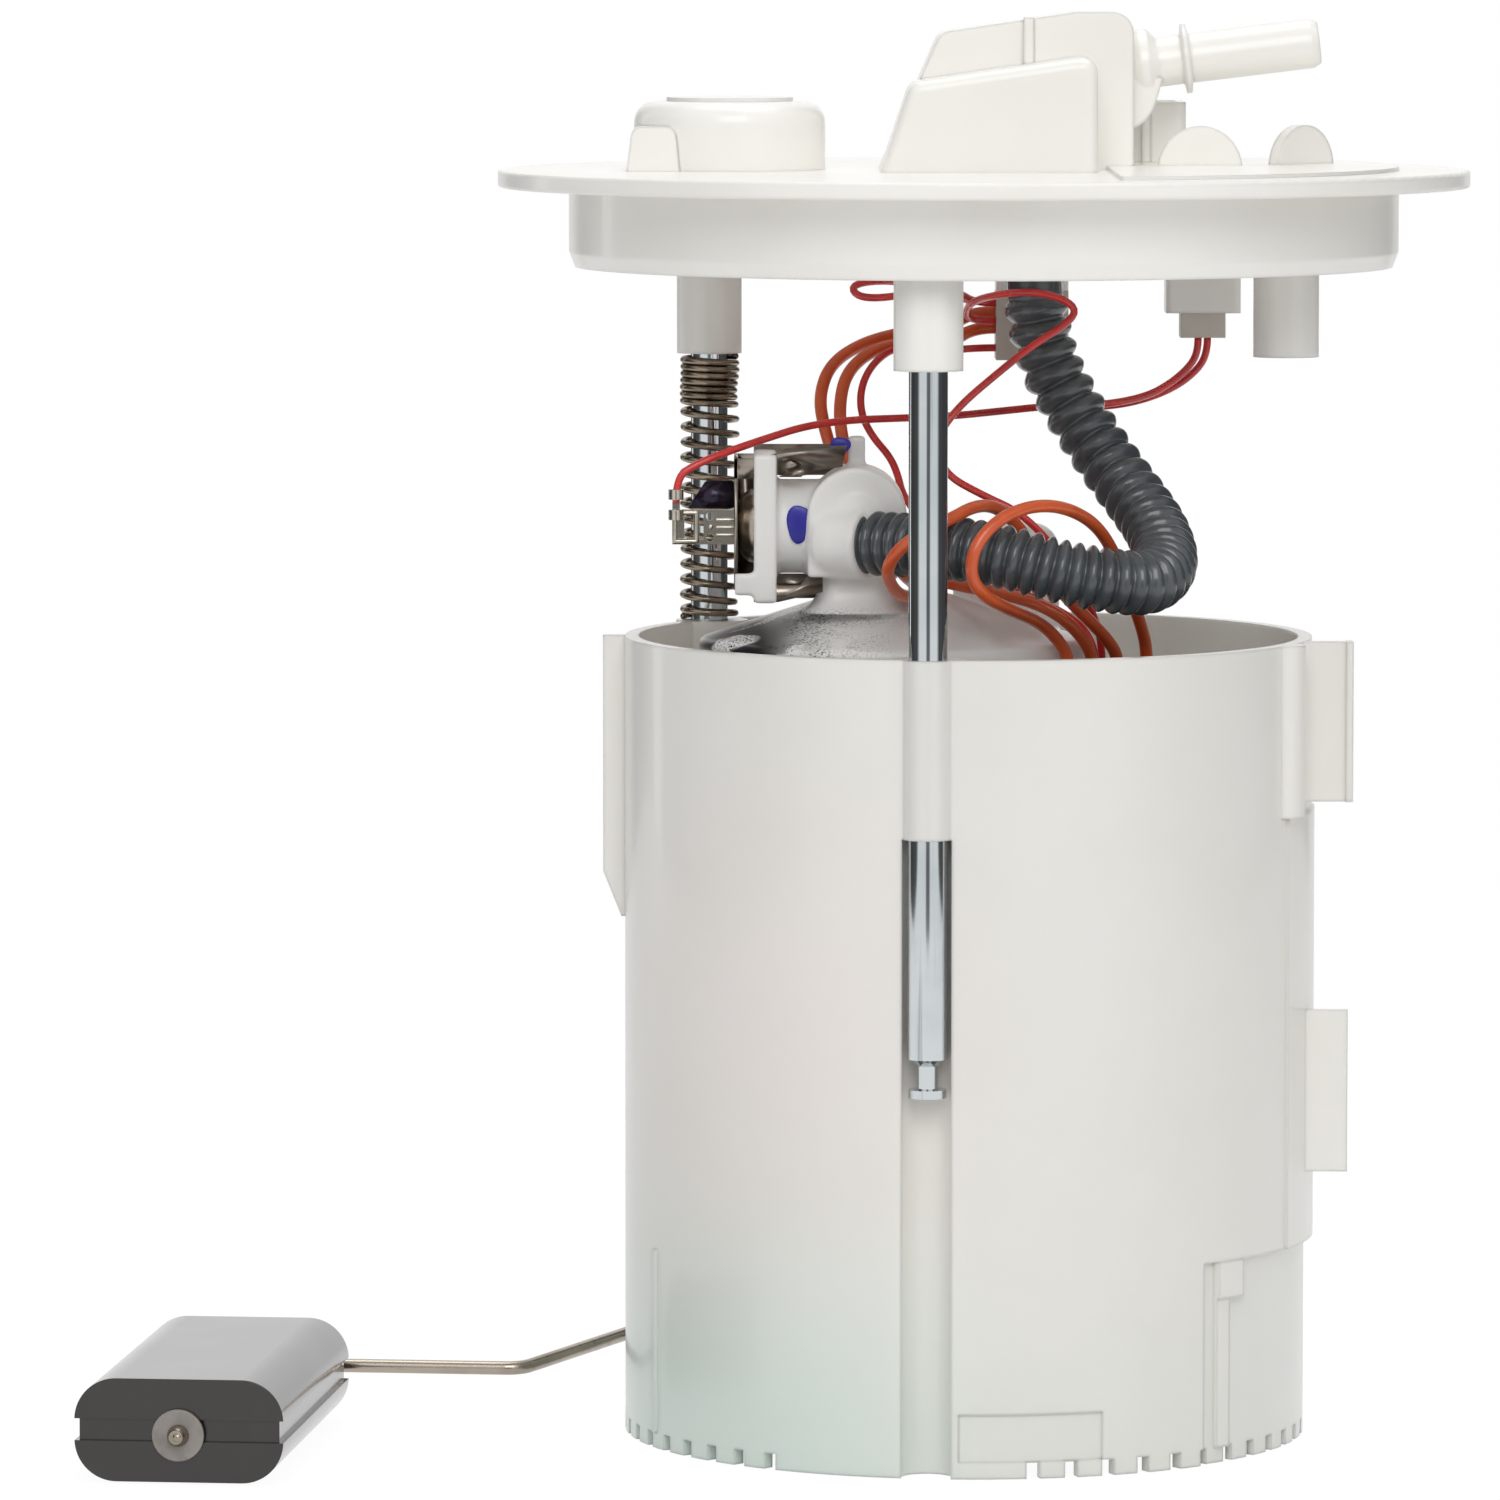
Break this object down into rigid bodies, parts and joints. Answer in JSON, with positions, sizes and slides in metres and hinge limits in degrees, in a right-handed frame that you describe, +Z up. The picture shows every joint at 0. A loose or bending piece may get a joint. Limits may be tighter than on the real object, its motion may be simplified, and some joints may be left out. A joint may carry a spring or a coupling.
{
  "type": "fuel pump module",
  "caption": "In-tank fuel pump module: sprung flange cover on guide rods over a reservoir with filter, pump, hose and level float.",
  "frame": {"origin": "centre of the cover's sealing face, on the axis of the tank-neck skirt", "axes": "+Z up out of the tank, +X towards the fuel outlet, -Y towards the front guide rod"},
  "size_m": [0.2175, 0.1534, 0.2251],
  "materials": {
    "natural_acetal": "natural white acetal, slightly translucent, satin",
    "plug_plastic": "warm white nylon",
    "black_plastic": "black glass-filled nylon",
    "zinc_steel": "bright zinc-plated steel",
    "bronze_spring_steel": "oil-tempered spring wire, dark bronze",
    "stainless": "stainless sheet and wire",
    "grey_hose": "slate grey corrugated nylon hose",
    "orange_wire": "orange insulated lead",
    "red_wire": "red insulated lead",
    "black_nitrile": "dark nitrile foam float",
    "rubber_seal": "black seal rubber",
    "copper": "bare copper alloy",
    "ferrite": "dark ferrite",
    "ceramic": "white ceramic card",
    "filter_paper": "pleated filter paper"
  },
  "bodies": {
    "reservoir_body": {"reservoir": "natural_acetal", "foot_valve": "rubber_seal", "jet_pump": "black_plastic", "filter_housing": "natural_acetal", "inlet_strainer": "filter_paper", "filter_element": "filter_paper", "pump_shell": "zinc_steel", "pump_inlet_cap": "black_plastic", "pump_bearing_plate": "black_plastic", "pump_outlet_cap": "black_plastic", "pump_magnets": "ferrite", "pump_brushes": "ferrite", "filter_cover": "natural_acetal", "pressure_regulator": "stainless", "regulator_seal": "rubber_seal", "regulator_clip": "stainless", "ground_terminal": "stainless", "terminal_block": "black_plastic", "sender_housing": "black_plastic", "sender_card": "ceramic", "orange_wire_3": "orange_wire"},
    "cover_body": {"flange_cover": "natural_acetal", "connector_terminals": "copper", "pump_plug": "plug_plastic", "sensor_plug": "plug_plastic", "vent_valve_cage": "natural_acetal", "vent_valve_seat": "black_plastic", "front_guide_rod": "zinc_steel", "rear_guide_rod": "zinc_steel", "red_wire_sensor": "red_wire", "red_wire_slack": "red_wire", "return_spring": "bronze_spring_steel", "fuel_hose": "grey_hose", "orange_wire_1": "orange_wire", "orange_wire_2": "orange_wire", "red_wire_ground": "red_wire", "red_wire_pump": "red_wire", "red_wire_sense": "red_wire"},
    "float_arm": {"float_arm_wire": "stainless", "sender_hub": "black_plastic", "sender_wiper": "copper", "float_retainer": "stainless"},
    "float": {"level_float": "black_nitrile"},
    "pump_rotor": {"pump_shaft": "stainless", "armature": "zinc_steel", "armature_winding": "copper", "commutator": "copper", "impeller": "black_plastic"},
    "vent_float": {"rollover_float": "black_plastic"}
  },
  "joints": [
    {"name": "cover_slide", "type": "slide", "parent": "reservoir_body", "child": "cover_body", "axis": [0, 0, 1], "range_m": [-0.016, 0], "stiffness_N_per_m": 500, "springref_m": 0.02, "deforming": ["return_spring", "fuel_hose", "orange_wire_1", "orange_wire_2", "red_wire_ground", "red_wire_pump", "red_wire_sense"]},
    {"name": "float_arm_pivot", "type": "hinge", "parent": "reservoir_body", "child": "float_arm", "pos_m": [-0.01556, 0.0631, -0.15], "axis": [0.108, 0.9942, 0], "range_deg": [0, 62]},
    {"name": "float_swivel", "type": "hinge", "parent": "float_arm", "child": "float", "pos_m": [-0.12102, -0.02523, -0.1899], "axis": [0.108, 0.9942, 0], "range_deg": [-70, 70]},
    {"name": "pump_rotor_spin", "type": "hinge", "parent": "reservoir_body", "child": "pump_rotor", "pos_m": [-0.0145, 0, -0.14], "axis": [0, 0, 1], "continuous": true},
    {"name": "vent_float_lift", "type": "slide", "parent": "cover_body", "child": "vent_float", "axis": [0, 0, 1], "range_m": [0, 0.002]}
  ]
}
